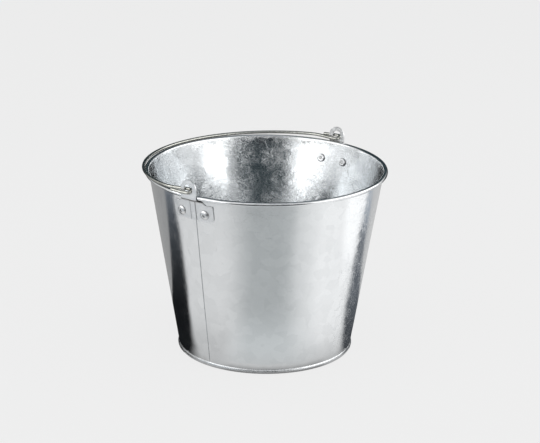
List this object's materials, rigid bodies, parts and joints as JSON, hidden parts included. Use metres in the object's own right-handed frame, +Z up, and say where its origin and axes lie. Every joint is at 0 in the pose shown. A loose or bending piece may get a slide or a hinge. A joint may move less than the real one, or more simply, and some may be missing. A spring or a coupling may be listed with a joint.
{
  "type": "bucket",
  "caption": "Tapered galvanised sheet steel bucket with a wired rim, folded foot seam, riveted ears and a folding wire bail, for carrying and conditioning cut flowers.",
  "frame": {"origin": "centre of the round foot, on the plane it stands on", "axes": "+Z up; the bail hinges about an axis along X through the two ears; the side seam is at -X under the left ear; the bail lies folded over the back of the rim, towards +Y"},
  "size_m": [0.2502, 0.2425, 0.1999],
  "materials": {
    "wall_sheet": "galvanised, fine spangle, bright",
    "base_sheet": "galvanised, fine spangle, bright",
    "ear_plate": "galvanised, pressed, satin",
    "rivet": "zinc plated, satin",
    "rivet_pin": "plain steel, dull broken end",
    "wire": "drawn galvanised wire, slightly warm grey"
  },
  "bodies": {
    "bucket": {"wall": "wall_sheet", "rim_wire": "wire", "base": "base_sheet", "ear_left": "ear_plate", "ear_right": "ear_plate", "rivet_left_front": "rivet", "rivet_left_back": "rivet", "rivet_right_front": "rivet", "rivet_right_back": "rivet", "rivet_pins": "rivet_pin"},
    "bail": {"bail": "wire"}
  },
  "joints": [
    {"name": "bail_hinge", "type": "hinge", "parent": "bucket", "child": "bail", "pos_m": [0, -0.0026, 0.18905], "axis": [1, 0, 0], "range_deg": [0, 182]}
  ]
}
